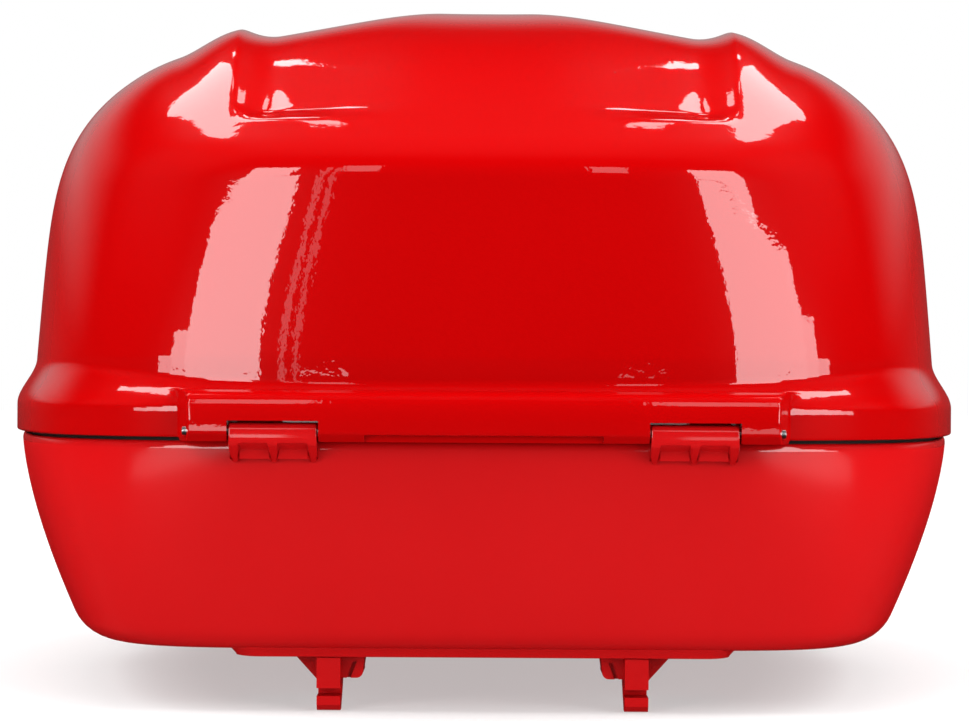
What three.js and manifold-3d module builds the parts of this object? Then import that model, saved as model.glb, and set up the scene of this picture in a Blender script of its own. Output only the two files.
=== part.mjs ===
// Motorcycle top case: lid, base, pinned hinge, cam lock and rack latch.
// Millimetres. +Z up, -Y the hinge side, +Y the lock side, origin at the centre of the rack seat.
import * as THREE from "three";
import { mergeVertices } from "three/addons/utils/BufferGeometryUtils.js";
import Module from "manifold-3d";

const wasm = await Module();
wasm.setup();

// ---- driving dimensions -------------------------------------------------------------------------
const GAP = 0.35; // between pieces that touch on the real object
const WALL = 3;
const SEAM_Z = 86; // middle of the seam between lid and base
const SEAM_GAP = 1.4;
const BASE_TOP = SEAM_Z - SEAM_GAP / 2;
const LID_BOTTOM = SEAM_Z + SEAM_GAP / 2;

const RIM = { halfWidth: 212.5, halfDepth: 200, squareness: 5 }; // lid rim, seen from above
const DOME = { halfWidth: 204, halfDepth: 192, squareness: 4.6 }; // foot of the lid's walls
const ROOF_SQUARENESS = 3.8; // the walls get rounder in plan up to the crease
const BAND_TOP = 98; // top of the upright rim band
const DOME_FOOT = 118; // where the flare ends and the walls start
const FRONT_FOOT = 109; // the flare is shorter at the front
const DOME_TOP = 276.2;
const FRONT_TAPER = 0.21; // how much the plan narrows towards the hinge side
const REAR_TAPER = 0.14;
const PANEL = { at: 86, spread: 66, depth: 4.2 }; // sunk roof panel, either side of the middle
const RIDGE = { at: 108, toeIn: 4.5, inner: 17, outer: 26, height: 6.2 }; // fore-aft ridges beside it
const RELIEF = { from: 0.6, panel: 0.67, shoulder: 0.92 }; // height fractions where they come in

const BASE_RIM = { halfWidth: 210, halfDepth: 197.4, squareness: 5 };
const BASE_BOTTOM = 3.3; // underside of the base's floor
const BASE_SQUARENESS = 8;
const SIDE_DRAFT = 0.125;
const END_DRAFT = 0.045;
const DRAFT_CURVE = 1.54; // the draft grows towards the floor
const FLOOR_ROUND = 7;
const PLINTH = { halfWidth: 100.5, front: -184, rear: 176, flank: 2.2 };

const PIN_AXIS = { y: -RIM.halfDepth - 4.5, z: SEAM_Z + 3.3 };
const PIN_R = 1.8;
const PIN_BORE_R = 1.95;
const PIN = { at: 87.8, halfLength: 28.8 };
const KNUCKLE_R = 3.4;
const STRIP = { halfWidth: 117, slant: 3.5, front: -209, low: 85.4, bevel: 3, face: 99.5, top: 105.5 };
const STRIP_LIP = -200.4; // the strip hangs over the seam in front of this line
const TONGUE = { at: 81.5, halfWidth: 17, ribs: [-15.2, 0, 15.2], rib: 3 };
const STUD = { offset: 7.6, z: 80.9, r: 1.5 };
const NUT = { r: 2.9, front: -191.5, rear: -189.1 };

const FLANGE = { width: 11, height: 3.3 }; // inside the lid's rim
const LIP_SLOT = { halfWidth: 46, depth: 3.6, height: 1.3 }; // recess in the strip's lower edge
const SEAL = { outer: 6.3, width: 4.5, hang: 1.1 }; // from the lid's rim inwards, and below the base's rim
const MAT = { inset: 24, thickness: 2.2, edge: 1 };

const KEY_Z = 57; // axis of the key barrel, along Y
const BARREL_R = 8;
const LOCK_INNER = 186.3; // inner face of the lock housing
const LOCK_OUTER = 204;
const LOCK_PLATE = { halfWidth: 34, low: 36, high: 80, corner: 12 };
const LOCK_WINDOW = { halfWidth: 24.4, low: 43.6, high: 74.4, corner: 3.4 };
const LOCK_SCREW = { x: 29, z: 62 };
const CAM = { hub: 8.5, inner: 21.8, outer: 25.4, y0: 182, y1: 185.3 };
const STRIKER = { halfWidth: 14, front: 178.5, rear: 195.6, thickness: 2, studZ: 75, studR: 3 };
const STRIKER_SCREW = { x: 9, y: 192.8 };
const REFLECTOR = { inner: 70, outer: 150, low: 128, high: 150, corner: 7, stand: 3.2 };

const FOOT_Z = -21.5; // lowest face of the hooks and of the rack latch
const HOOK = { at: 61, outer: 65.6, inner: 56.2, front: -180, rear: -152 };
const HOOK_SCREWS = [-165, -156];
const RACK_SLOT = { top: -12.5, bottom: -15.7, deep: 12 }; // takes the rack plate's front edge
const PAD = { x: 82, front: -140, rear: 150, halfWidth: 10, halfLength: 16, low: -1.4 };
const LATCH = { halfWidth: 36, front: 128, rear: 172 };
const LATCH_SCREW = { x: 28, y: 146 };
const LEVER_AXIS = { y: 164, z: -5.5 };
const LEVER_HALF = 13.8;
const BOLT = { halfWidth: 11.8, nose: 120, shoulder: 140, tail: 168.5, low: -15.5, high: -6.2 };
const SPRING = { r: 2.5, wire: 0.45, turns: 5, z: -9.2 };
const SCREW_HOLE = 2.1;

const SEGMENTS = 44; // points round the shells

// ---- materials ----------------------------------------------------------------------------------
const material = (color, roughness, metalness = 0) =>
  new THREE.MeshStandardMaterial({ color, roughness, metalness });
const LID_PAINT = material(0xcc0008, 0.06);
const BASE_PAINT = material(0xb8141c, 0.3);
const STEEL = material(0xb8babd, 0.35, 1);
const CHROME = material(0xe2e4e6, 0.08, 1);
const BLACK_PLASTIC = material(0x141416, 0.55);
const RUBBER = material(0x101010, 0.85);
const MAT_RUBBER = material(0x1b1b1d, 0.9);
const REFLEX_RED = material(0x9c0410, 0.12);

// ---- solids -------------------------------------------------------------------------------------
function solid(geometry) {
  const bare = geometry.clone();
  bare.deleteAttribute("normal");
  bare.deleteAttribute("uv");
  const merged = mergeVertices(bare, 1e-4);
  return new wasm.Manifold(
    new wasm.Mesh({
      numProp: 3,
      vertProperties: merged.attributes.position.array,
      triVerts: new Uint32Array(merged.index.array),
    }),
  );
}

function geometryOf(manifold) {
  const mesh = manifold.getMesh();
  const geometry = new THREE.BufferGeometry();
  geometry.setAttribute("position", new THREE.BufferAttribute(mesh.vertProperties, 3));
  geometry.setIndex(new THREE.BufferAttribute(mesh.triVerts, 1));
  return geometry;
}

// A closed skin through rings of equal length, capped flat at both ends.
function loft(rings) {
  const n = rings[0].length;
  const caps = [rings[0], rings[rings.length - 1]].map((ring) =>
    ring.reduce((sum, p) => sum.map((v, i) => v + p[i] / n), [0, 0, 0]),
  );
  const points = [...rings.flat(), ...caps];
  const faces = [];
  rings.slice(1).forEach((_, row) => {
    for (let i = 0; i < n; i++) {
      const a = row * n + i;
      const b = row * n + ((i + 1) % n);
      faces.push(a, b, b + n, a, b + n, a + n);
    }
  });
  const first = rings.length * n;
  const lastRow = first - n;
  for (let i = 0; i < n; i++) {
    faces.push(first, (i + 1) % n, i);
    faces.push(first + 1, lastRow + i, lastRow + ((i + 1) % n));
  }
  const geometry = new THREE.BufferGeometry();
  geometry.setAttribute("position", new THREE.Float32BufferAttribute(points.flat(), 3));
  geometry.setIndex(faces);
  return geometry;
}

function box(x0, x1, y0, y1, z0, z1) {
  const geometry = new THREE.BoxGeometry(x1 - x0, y1 - y0, z1 - z0);
  return geometry.translate((x0 + x1) / 2, (y0 + y1) / 2, (z0 + z1) / 2);
}

const outline = (points) => new THREE.Shape(points.map(([x, y]) => new THREE.Vector2(x, y)));

function roundedRect(x0, x1, y0, y1, r) {
  const shape = new THREE.Shape();
  shape.absarc(x1 - r, y1 - r, r, 0, Math.PI / 2);
  shape.absarc(x0 + r, y1 - r, r, Math.PI / 2, Math.PI);
  shape.absarc(x0 + r, y0 + r, r, Math.PI, 1.5 * Math.PI);
  shape.absarc(x1 - r, y0 + r, r, 1.5 * Math.PI, 2 * Math.PI);
  return shape;
}

const extrude = (shape, depth, curveSegments) =>
  new THREE.ExtrudeGeometry(shape, { depth, bevelEnabled: false, curveSegments });

// A shape drawn in Y and Z, extruded along X.
function alongX(shape, x0, x1, curveSegments = 6) {
  const turn = new THREE.Matrix4().makeBasis(
    new THREE.Vector3(0, 1, 0),
    new THREE.Vector3(0, 0, 1),
    new THREE.Vector3(1, 0, 0),
  );
  return extrude(shape, x1 - x0, curveSegments).applyMatrix4(turn).translate(x0, 0, 0);
}

// A shape drawn in X and Z, extruded along Y.
const alongY = (shape, y0, y1, curveSegments = 6) =>
  extrude(shape, y1 - y0, curveSegments).rotateX(Math.PI / 2).translate(0, y1, 0);

const rodX = (r, x0, x1, y, z, sides = 16) =>
  new THREE.CylinderGeometry(r, r, x1 - x0, sides).rotateZ(Math.PI / 2).translate((x0 + x1) / 2, y, z);
const rodY = (r, y0, y1, x, z, sides = 16) =>
  new THREE.CylinderGeometry(r, r, y1 - y0, sides).translate(x, (y0 + y1) / 2, z);
const rodZ = (r, z0, z1, x, y, sides = 12) =>
  new THREE.CylinderGeometry(r, r, z1 - z0, sides).rotateX(Math.PI / 2).translate(x, y, (z0 + z1) / 2);

const joined = (...geometries) => geometries.map(solid).reduce((a, b) => a.add(b));
const cut = (body, ...geometries) => geometries.reduce((left, g) => left.subtract(solid(g)), body);

// A screw standing on +Z with its head's underside at the origin and a hexagon socket.
function screw(shank, length, headR, headH) {
  const profile = [
    [0, -length],
    [shank, -length],
    [shank, 0],
    [headR, 0],
    [headR * 0.97, headH * 0.55],
    [headR * 0.62, headH],
    [0, headH],
  ].map(([r, h]) => new THREE.Vector2(r, h));
  const turned = new THREE.LatheGeometry(profile, 10).rotateX(Math.PI / 2);
  const socket = rodZ(headR * 0.42, headH * 0.35, headH + 1, 0, 0, 6);
  return geometryOf(cut(solid(turned), socket));
}

// ---- the scene graph ----------------------------------------------------------------------------
const topCase = new THREE.Group();

function add(name, geometry, look) {
  const mesh = new THREE.Mesh(geometry, look);
  mesh.name = name;
  topCase.add(mesh);
  return mesh;
}

const SIDES = [
  ["left", -1],
  ["right", 1],
];

// ---- outer forms of the shells ------------------------------------------------------------------
const smooth = (a, b, v) => THREE.MathUtils.smoothstep(v, a, b);
const mix = (a, b, share) => a + (b - a) * share;

function smoothMin(a, b, width) {
  const share = THREE.MathUtils.clamp(0.5 + (0.5 * (b - a)) / width, 0, 1);
  return mix(b, a, share) - width * share * (1 - share);
}

// Directions round the plan, closer together at the corners.
const TURNS = Array.from({ length: SEGMENTS }, (_, i) => {
  const angle = (2 * Math.PI * i) / SEGMENTS;
  const spread = (v) => Math.sign(v) * Math.abs(v) ** 0.65;
  return [spread(Math.cos(angle)), spread(Math.sin(angle))];
});

// A point on the plan: a superellipse that narrows a little towards both ends.
function planPoint([p, q], { halfWidth, halfDepth, squareness: n }, inset = 0) {
  const norm = (Math.abs(p) ** n + Math.abs(q) ** n) ** (-1 / n);
  const along = q * norm;
  const taper = along < 0 ? FRONT_TAPER : REAR_TAPER;
  const narrowing = 1 - (taper * along ** 2) / (Math.abs(along) + 0.25);
  return {
    x: (halfWidth - inset) * p * norm * narrowing,
    y: (halfDepth - inset) * along,
    along,
  };
}

// Half width left at the height fraction t: walls with a round shoulder at the sides and the rear,
// and a sloping face above a crease at the front.
function domeReach(t, along) {
  const side = (1 - t ** 5.2) ** (1 / 1.8) * (1 - 0.063 * t);
  const front = smoothMin(1 - 0.06 * t, 1.38 * Math.sqrt(1 - t), 0.05);
  const rear = (1 - t ** 3.4) ** (1 / 2.1) * (1 - 0.05 * t);
  return along < 0 ? mix(side, front, along ** 6) : mix(side, rear, along ** 4);
}

const bump = (u) => (Math.abs(u) < 1 ? (1 - u * u) ** 2 : 0);
// Falls from 1 at u = 0 to 0 at u = 1, with a narrow rounded crest.
const crest = (u) => Math.max(0, 1 + 0.1 - Math.hypot(u, 0.1)) ** 2;

// The ridges draw together a little towards the hinge side. There the panel sinks in quickly between
// them, and outside them the shoulder swells slowly.
function roofRelief(x, y, t) {
  const d = Math.abs(x);
  const at = RIDGE.at - RIDGE.toeIn * smooth(0.3, 0.85, -y / DOME.halfDepth);
  const panel = (v) => -PANEL.depth * bump((v - PANEL.at) / PANEL.spread);
  const inside = panel(d) + RIDGE.height * crest((at - d) / RIDGE.inner);
  const outside = panel(d) + RIDGE.height * bump((d - at) / RIDGE.outer);
  const shoulder = d < at ? (panel(at) + RIDGE.height) * bump((at - d) / RIDGE.outer) : outside;
  const step = d < at ? inside - shoulder : 0;
  return shoulder * smooth(RELIEF.from, RELIEF.shoulder, t) + step * smooth(RELIEF.from, RELIEF.panel, t);
}

function domeRing(t, inset = 0) {
  const plan = { ...DOME, squareness: mix(DOME.squareness, ROOF_SQUARENESS, smooth(0, 0.55, t)) };
  return TURNS.map((turn) => {
    const { x, y, along } = planPoint(turn, plan, inset);
    const reach = domeReach(t, along);
    const rise = (DOME_TOP - inset - DOME_FOOT) * t;
    return [x * reach, y * reach, DOME_FOOT + rise + roofRelief(x * reach, y * reach, t)];
  });
}

// A ring of the rim band or of the flare above it.
function rimRing(z, inset = 0) {
  return TURNS.map((turn) => {
    const low = planPoint(turn, RIM, inset);
    const high = planPoint(turn, DOME, inset);
    const foot = mix(DOME_FOOT, FRONT_FOOT, low.along < 0 ? low.along ** 6 : 0);
    const share = smooth(BAND_TOP, foot, z);
    return [mix(low.x, high.x, share), mix(low.y, high.y, share), z];
  });
}

const DOME_STEPS = [0.2, 0.4, 0.51, 0.6, 0.67, 0.75, 0.82, 0.88, 0.93, 0.967, 0.993];
const FLARE_STEPS = [BAND_TOP, 104, 108, 112, DOME_FOOT];

function lidForm(bottom, inset = 0) {
  return loft([
    rimRing(bottom, inset),
    ...FLARE_STEPS.map((z) => rimRing(z, inset)),
    ...DOME_STEPS.map((t) => domeRing(t, inset)),
  ]);
}

// A ring of the base: drafted walls, then a quarter round down to the floor.
function baseRing(z, inset = 0) {
  const low = BASE_BOTTOM + inset;
  const depth = THREE.MathUtils.clamp((BASE_TOP - z) / (BASE_TOP - BASE_BOTTOM), 0, 1);
  const draft = depth ** DRAFT_CURVE;
  const round = Math.max(0, FLOOR_ROUND - Math.max(0, inset));
  const below = THREE.MathUtils.clamp((low + round - z) / round, 0, 1);
  const tuck = round * (1 - Math.sqrt(1 - below ** 2));
  const plan = {
    halfWidth: BASE_RIM.halfWidth * (1 - SIDE_DRAFT * draft),
    halfDepth: BASE_RIM.halfDepth * (1 - END_DRAFT * draft),
    squareness: mix(BASE_RIM.squareness, BASE_SQUARENESS, depth),
  };
  return TURNS.map((turn) => {
    const { x, y } = planPoint(turn, plan, inset + tuck);
    return [x, y, z];
  });
}

// Where the base's rear wall stands on the middle line.
function rearWall(z) {
  const depth = (BASE_TOP - z) / (BASE_TOP - BASE_BOTTOM);
  return BASE_RIM.halfDepth * (1 - END_DRAFT * depth ** DRAFT_CURVE);
}

function baseForm(top, inset = 0) {
  const low = BASE_BOTTOM + inset;
  const round = FLOOR_ROUND - Math.max(0, inset);
  const levels = [low, low + 0.13 * round, low + 0.5 * round, low + round, 34, 52, 70, BASE_TOP];
  return loft([...levels, ...(top > BASE_TOP ? [top] : [])].map((z) => baseRing(z, inset)));
}

// What a piece on the outside of the base is cut back by.
const basePlus = solid(baseForm(BASE_TOP + 0.01, -GAP));

// ---- hinge --------------------------------------------------------------------------------------
// The strip's section in Y and Z, and its plan, whose ends slant back to the wall.
const STRIP_SECTION = outline([
  [-190, LID_BOTTOM],
  [STRIP_LIP, LID_BOTTOM],
  [STRIP_LIP, STRIP.low],
  [STRIP.front + STRIP.bevel, STRIP.low],
  [STRIP.front, STRIP.low + STRIP.bevel],
  [STRIP.front, STRIP.face - 4],
  [STRIP.front + 0.75, STRIP.face],
  [STRIP.front + 1.8, STRIP.face + 2.8],
  [-200, STRIP.top],
  [-190, STRIP.top],
]);

function hingeStrip() {
  const [wide, narrow] = [STRIP.halfWidth + STRIP.slant, STRIP.halfWidth - STRIP.slant];
  const plan = outline([
    [-wide, -190],
    [-narrow, STRIP.front - 1],
    [narrow, STRIP.front - 1],
    [wide, -190],
  ]);
  const slab = extrude(plan, 30).translate(0, 0, STRIP.low - 1);
  return solid(alongX(STRIP_SECTION, -wide, wide)).intersect(solid(slab));
}

function lidShell() {
  const inside = lidForm(LID_BOTTOM + FLANGE.height, WALL);
  const mouth = loft([LID_BOTTOM - 1, LID_BOTTOM + FLANGE.height + 5].map((z) => rimRing(z, FLANGE.width)));
  const front = STRIP.front - 10;
  const notchTop = PIN_AXIS.z + KNUCKLE_R + 0.7;
  const notches = SIDES.map(([, s]) => {
    const [x0, x1] = [-1, 1].map((t) => s * TONGUE.at + t * (TONGUE.halfWidth + 0.5));
    return box(x0, x1, front, -RIM.halfDepth - 0.1, STRIP.low - 1, notchTop);
  });
  const bores = SIDES.map(([, s]) => {
    const [x0, x1] = [-1, 1].map((t) => s * PIN.at + t * (PIN.halfLength + 1));
    return rodX(PIN_BORE_R, x0, x1, PIN_AXIS.y, PIN_AXIS.z);
  });
  const { halfWidth: w, depth, height } = LIP_SLOT;
  const lipSlot = box(-w, w, front, STRIP.front + depth, STRIP.low - 1, LID_BOTTOM + height);
  const screwHoles = SIDES.map(([, s]) => rodZ(SCREW_HOLE, 80, 95, s * STRIKER_SCREW.x, STRIKER_SCREW.y));
  const outer = solid(lidForm(LID_BOTTOM)).add(hingeStrip());
  return cut(outer.subtract(joined(inside, mouth)), ...notches, ...bores, lipSlot, ...screwHoles);
}

function hingeTongue(side) {
  const x = side * TONGUE.at;
  const foot = -190;
  const front = PIN_AXIS.y - KNUCKLE_R;
  const web = outline([
    [front, PIN_AXIS.z],
    [front, 85.6],
    [front + 0.9, 84.7],
    [front + 5.6, 83.4],
    [front + 7, 82.2],
    [front + 7.6, 78.6],
    [foot, 78.6],
    [foot, BASE_TOP],
    [PIN_AXIS.y + 3, BASE_TOP],
    [PIN_AXIS.y, PIN_AXIS.z],
  ]);
  const rib = outline([
    [front, 86],
    [front + 0.8, 83.6],
    [front + 5.2, 81],
    [front + 10.6, 77.2],
    [foot, 77.2],
    [foot, 84.5],
    [-203, 84.5],
  ]);
  const body = joined(
    rodX(KNUCKLE_R, x - TONGUE.halfWidth, x + TONGUE.halfWidth, PIN_AXIS.y, PIN_AXIS.z, 24),
    alongX(web, x - TONGUE.halfWidth, x + TONGUE.halfWidth),
    ...TONGUE.ribs.map((r) => alongX(rib, x + r - TONGUE.rib / 2, x + r + TONGUE.rib / 2)),
  ).subtract(basePlus);
  const studs = [-1, 1].map((s) => rodY(STUD.r, -198.5, -188.7, x + s * STUD.offset, STUD.z, 10));
  const bore = rodX(PIN_BORE_R, x - 30, x + 30, PIN_AXIS.y, PIN_AXIS.z);
  return cut(body.add(joined(...studs)), bore);
}

function addHinge() {
  for (const [label, s] of SIDES) {
    add(`hinge_tongue_${label}`, geometryOf(hingeTongue(s)), BASE_PAINT);
    const [x0, x1] = [-1, 1].map((t) => s * PIN.at + t * PIN.halfLength);
    add(`hinge_pin_${label}`, rodX(PIN_R, x0, x1, PIN_AXIS.y, PIN_AXIS.z), STEEL);
    for (const [place, t] of [["inner", -s], ["outer", s]]) {
      const x = s * TONGUE.at + t * STUD.offset;
      const nut = solid(rodY(NUT.r, NUT.front, NUT.rear, x, STUD.z, 6));
      const thread = rodY(STUD.r + 0.15, NUT.front - 5, NUT.rear + 5, x, STUD.z, 10);
      add(`hinge_nut_${label}_${place}`, geometryOf(cut(nut, thread)), STEEL);
    }
  }
}

// ---- base shell, gasket and mat -----------------------------------------------------------------
function plinth() {
  const { halfWidth: w, front, rear, flank } = PLINTH;
  const corner = 10;
  const ring = (inset, z) =>
    roundedRect(-w + inset, w - inset, front + inset, rear - inset, corner)
      .getPoints(3)
      .slice(0, -1)
      .map(({ x, y }) => [x, y, z]);
  return solid(loft([ring(flank, 0), ring(0, BASE_BOTTOM), ring(0, BASE_BOTTOM + 1.5)]));
}

function baseShell() {
  const hull = solid(baseForm(BASE_TOP)).add(plinth());
  const { halfWidth, low, high, corner } = LOCK_WINDOW;
  const holes = [
    ...SIDES.flatMap(([, s]) => HOOK_SCREWS.map((y) => rodZ(2.3, -5, 20, s * HOOK.at, y))),
    ...SIDES.map(([, s]) => rodZ(2.3, -5, 20, s * LATCH_SCREW.x, LATCH_SCREW.y)),
    ...SIDES.flatMap(([, s]) =>
      [-1, 1].map((t) => rodY(STUD.r + 0.35, -215, -180, s * TONGUE.at + t * STUD.offset, STUD.z, 10)),
    ),
    ...SIDES.map(([, s]) => rodY(SCREW_HOLE, 180, 215, s * LOCK_SCREW.x, LOCK_SCREW.z, 10)),
    alongY(roundedRect(-halfWidth, halfWidth, low, high, corner), 170, 215, 3),
  ];
  return cut(hull.subtract(solid(baseForm(BASE_TOP + 2, WALL))), ...holes);
}

// A seal that hangs from the lid's inner flange, just inside the base's wall.
function rimGasket() {
  const { outer, width, hang } = SEAL;
  const low = BASE_TOP - hang;
  const high = LID_BOTTOM - GAP;
  const around = loft([rimRing(low, outer + 0.6), rimRing(low + 0.8, outer), rimRing(high, outer)]);
  const within = loft([rimRing(low - 1, outer + width), rimRing(high + 1, outer + width)]);
  return cut(solid(around), within);
}

function floorMat() {
  const low = BASE_BOTTOM + WALL + GAP;
  const ring = (inset, z) => baseRing(BASE_BOTTOM + FLOOR_ROUND, inset).map(([x, y]) => [x, y, z]);
  const slab = solid(
    loft([
      ring(MAT.inset, low),
      ring(MAT.inset, low + MAT.thickness - 0.6),
      ring(MAT.inset + MAT.edge, low + MAT.thickness),
    ]),
  );
  const around = (x, y0, y1, r) => box(x - r, x + r, y0 - r, y1 + r, 0, 20);
  const screwWindows = [
    ...SIDES.map(([, s]) => around(s * HOOK.at, HOOK_SCREWS[0], HOOK_SCREWS[1], 7)),
    ...SIDES.map(([, s]) => around(s * LATCH_SCREW.x, LATCH_SCREW.y, LATCH_SCREW.y, 8)),
  ];
  return cut(slab, ...screwWindows);
}

// ---- mounting hooks -----------------------------------------------------------------------------
// Each hook is a block that carries a forward-facing slot for the rack plate's edge, with a gusset
// on its outer side and a rounded lobe on its inner side.
function mountHook(side) {
  const { at, outer, inner, front, rear } = HOOK;
  const slot = RACK_SLOT;
  const section = outline([
    [front, -GAP],
    [front, slot.top],
    [front + slot.deep, slot.top],
    [front + slot.deep, slot.bottom],
    [front + 1, slot.bottom],
    [front + 1, -19.2],
    [front + 3.5, FOOT_Z],
    [front + 9, FOOT_Z],
    [rear - 6, -13],
    [rear, -6],
    [rear, -GAP],
  ]);
  const gusset = outline([
    [inner + 2, -GAP],
    [75.5, -GAP],
    [74, -1.6],
    [outer + 0.2, -10.6],
    [outer - 1, -19],
    [inner + 2, -19],
  ]);
  const lobe = new THREE.Shape();
  lobe.moveTo(inner + 1, -GAP);
  lobe.lineTo(46.8, -GAP);
  lobe.lineTo(47.6, -6);
  lobe.absarc(50.2, -6.4, 2.7, 0.15 - Math.PI, -Math.PI / 2, false);
  lobe.lineTo(inner + 1, -9.1);
  const body = joined(
    alongX(section, inner, outer),
    alongY(gusset, front + slot.deep, front + slot.deep + 5),
    alongY(lobe, front + 7, rear - 2, 5),
  );
  const groove = alongY(
    outline([
      [inner + 0.2, -16],
      [inner - 1, -16],
      [50, -2.6],
      [51.8, -2.6],
    ]),
    front + 6,
    front + 9,
  );
  const screwHoles = HOOK_SCREWS.map((y) => rodZ(SCREW_HOLE, -11, 5, at, y));
  const made = geometryOf(cut(body, groove, ...screwHoles));
  return side > 0 ? made : mirrored(made);
}

// Mirrors in X and turns each face round again.
function mirrored(geometry) {
  const copy = geometry.clone().scale(-1, 1, 1);
  const index = copy.index.array;
  for (let i = 0; i < index.length; i += 3) [index[i + 1], index[i + 2]] = [index[i + 2], index[i + 1]];
  return copy;
}

function seatPad(x, y) {
  const { halfWidth: w, halfLength: l, low } = PAD;
  const ring = (inset, z) =>
    roundedRect(x - w + inset, x + w - inset, y - l + inset, y + l - inset, 4)
      .getPoints(3)
      .slice(0, -1)
      .map((p) => [p.x, p.y, z]);
  return loft([ring(1, low), ring(0, low + 0.5), ring(0, -GAP)]);
}

function addMounting() {
  const headSeat = BASE_BOTTOM + WALL + GAP;
  for (const [label, s] of SIDES) {
    add(`mount_hook_${label}`, mountHook(s), BASE_PAINT);
    HOOK_SCREWS.forEach((y, i) => {
      const mesh = add(`hook_screw_${label}_${i + 1}`, screw(1.9, 16, 4, 2.4), STEEL);
      mesh.position.set(s * HOOK.at, y, headSeat);
    });
    const mesh = add(`latch_screw_${label}`, screw(1.9, 16, 4, 2.4), STEEL);
    mesh.position.set(s * LATCH_SCREW.x, LATCH_SCREW.y, headSeat);
    add(`seat_pad_front_${label}`, seatPad(s * PAD.x, PAD.front), RUBBER);
    add(`seat_pad_rear_${label}`, seatPad(s * PAD.x, PAD.rear), RUBBER);
  }
}

// ---- lock ---------------------------------------------------------------------------------------
function lockHousing() {
  const { halfWidth: w, low, high, corner } = LOCK_PLATE;
  const plate = solid(alongY(roundedRect(-w, w, low, high, corner), 180, LOCK_OUTER, 5)).subtract(basePlus);
  const hub = LOCK_WINDOW.halfWidth - 0.4;
  const inner = alongY(
    roundedRect(-hub, hub, LOCK_WINDOW.low + 0.4, LOCK_WINDOW.high - 0.4, LOCK_WINDOW.corner - 0.4),
    LOCK_INNER,
    LOCK_OUTER - 2,
    3,
  );
  return cut(
    plate.add(solid(inner)),
    rodY(BARREL_R + 0.4, 180, 210, 0, KEY_Z, 24),
    rodY(BARREL_R + 3, LOCK_OUTER - 1.6, 210, 0, KEY_Z, 24),
    ...SIDES.map(([, s]) => rodY(1.9, 180, 202, s * LOCK_SCREW.x, LOCK_SCREW.z, 10)),
  );
}

function lockBezel() {
  const ring = solid(rodY(BARREL_R + 2.7, LOCK_OUTER - 1.3, LOCK_OUTER + 1.4, 0, KEY_Z, 28));
  return cut(ring, rodY(BARREL_R + 0.5, 180, 220, 0, KEY_Z, 24));
}

function keyBarrel() {
  const tail = box(-3.4, 3.4, 178.2, 187, KEY_Z - 3.4, KEY_Z + 3.4);
  const body = joined(rodY(BARREL_R, LOCK_INNER + 0.2, LOCK_OUTER + 0.6, 0, KEY_Z, 24), tail);
  return cut(body, box(-0.9, 0.9, LOCK_OUTER - 9, LOCK_OUTER + 5, KEY_Z - 4, KEY_Z + 4));
}

// The cam in its unlocked place: its arm points to +X, and a quarter turn brings its curved tip over
// the striker's stud.
function lockCam() {
  const polar = (r, degrees) => {
    const angle = THREE.MathUtils.degToRad(degrees);
    return [r * Math.cos(angle), KEY_Z + r * Math.sin(angle)];
  };
  const tip = new THREE.Shape();
  const from = THREE.MathUtils.degToRad(-33);
  const to = THREE.MathUtils.degToRad(15);
  tip.absarc(0, KEY_Z, CAM.outer, from, to, false);
  tip.absarc(0, KEY_Z, CAM.inner, to, from, true);
  const arm = outline([polar(6, -80), polar(23, -36), polar(23, -17), polar(7, 25)]);
  const body = joined(
    rodY(CAM.hub, CAM.y0, CAM.y1, 0, KEY_Z, 24),
    alongY(tip, CAM.y0, CAM.y1, 8),
    alongY(arm, CAM.y0, CAM.y1),
  );
  return cut(body, box(-3.6, 3.6, 170, 190, KEY_Z - 3.6, KEY_Z + 3.6));
}

function camNut() {
  const body = solid(rodY(6.6, CAM.y0 - 3, CAM.y0 - 0.3, 0, KEY_Z, 6));
  return cut(body, box(-3.6, 3.6, 170, 190, KEY_Z - 3.6, KEY_Z + 3.6));
}

function addLock() {
  add("lock_housing", geometryOf(lockHousing()), BLACK_PLASTIC);
  add("lock_bezel", geometryOf(lockBezel()), CHROME);
  add("key_barrel", geometryOf(keyBarrel()), CHROME);
  add("lock_cam", geometryOf(lockCam()), STEEL);
  add("lock_cam_nut", geometryOf(camNut()), STEEL);
  for (const [label, s] of SIDES) {
    const mesh = add(`lock_screw_${label}`, screw(1.6, 8.6, 3.4, 2), STEEL);
    mesh.rotation.x = Math.PI / 2;
    mesh.position.set(s * LOCK_SCREW.x, rearWall(LOCK_SCREW.z) - WALL - 2 * GAP, LOCK_SCREW.z);
  }
}

// The striker: an angle plate on the lid's flange with a stud that the cam holds down.
function striker() {
  const { halfWidth: w, front, rear, thickness, studZ, studR } = STRIKER;
  const low = LID_BOTTOM + FLANGE.height + GAP;
  const plate = joined(
    box(-w, w, front, rear, low, low + thickness),
    box(-w, w, front, front + 2.5, studZ - 5, low + thickness),
    rodY(studR, front + 2.3, front + 7.2, 0, studZ, 20),
  );
  return cut(plate, ...SIDES.map(([, s]) => rodZ(SCREW_HOLE, 80, 100, s * STRIKER_SCREW.x, STRIKER_SCREW.y)));
}

function addStriker() {
  add("striker", geometryOf(striker()), STEEL);
  for (const [label, s] of SIDES) {
    const mesh = add(`striker_screw_${label}`, screw(1.8, 5.4, 3.2, 2), STEEL);
    const seat = LID_BOTTOM + FLANGE.height + 2 * GAP + STRIKER.thickness;
    mesh.position.set(s * STRIKER_SCREW.x, STRIKER_SCREW.y, seat);
  }
}

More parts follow.
